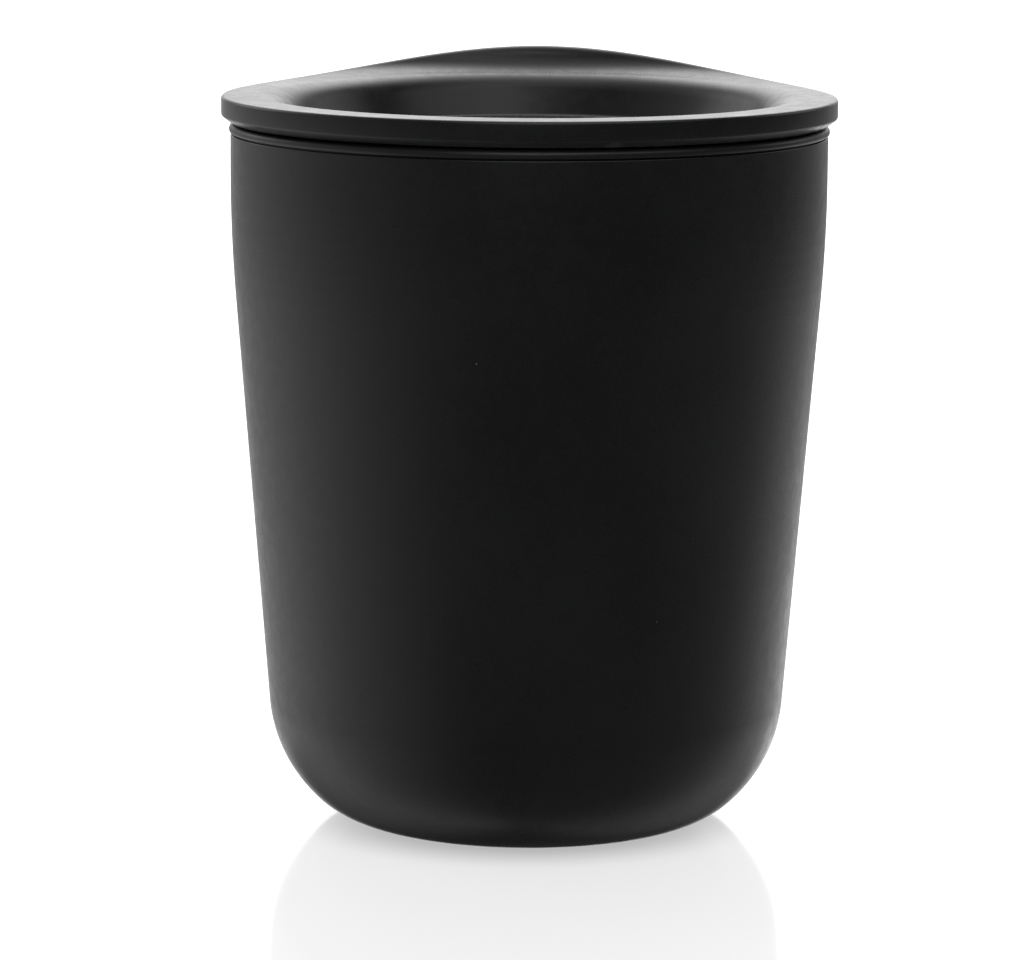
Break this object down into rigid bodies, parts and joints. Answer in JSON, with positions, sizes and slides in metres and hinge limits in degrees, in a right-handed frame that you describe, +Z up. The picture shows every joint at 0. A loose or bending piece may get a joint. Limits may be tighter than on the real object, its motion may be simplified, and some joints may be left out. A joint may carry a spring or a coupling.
{
  "type": "coffee tumbler",
  "caption": "Double-wall plastic coffee tumbler with a round tapered base and a push-on drinking lid with a raised lip.",
  "frame": {"origin": "centre of the standing ring, on the surface that the cup stands on", "axes": "+Z up along the cup's axis, +Y towards the middle of the lid's raised lip, +X to the right when the lip is at the back"},
  "size_m": [0.095, 0.095, 0.1175],
  "materials": {
    "shell_plastic": "fine satin moulded polypropylene, black",
    "liner_plastic": "satin moulded polypropylene, black",
    "lid_plastic": "fine satin moulded polypropylene, black",
    "seal_silicone": "soft matt silicone, dark grey"
  },
  "bodies": {
    "cup": {"outer_shell": "shell_plastic", "inner_liner": "liner_plastic"},
    "seal": {"lid_seal": "seal_silicone"},
    "lid": {"lid_cover": "lid_plastic", "lid_plug": "lid_plastic"}
  },
  "joints": [
    {"name": "lid_lift", "type": "slide", "parent": "cup", "child": "seal", "axis": [0, 0, 1], "range_m": [0, 0.06]},
    {"name": "lid_turn", "type": "hinge", "parent": "seal", "child": "lid", "pos_m": [0, 0, 0.1035], "axis": [0, 0, 1], "continuous": true}
  ]
}
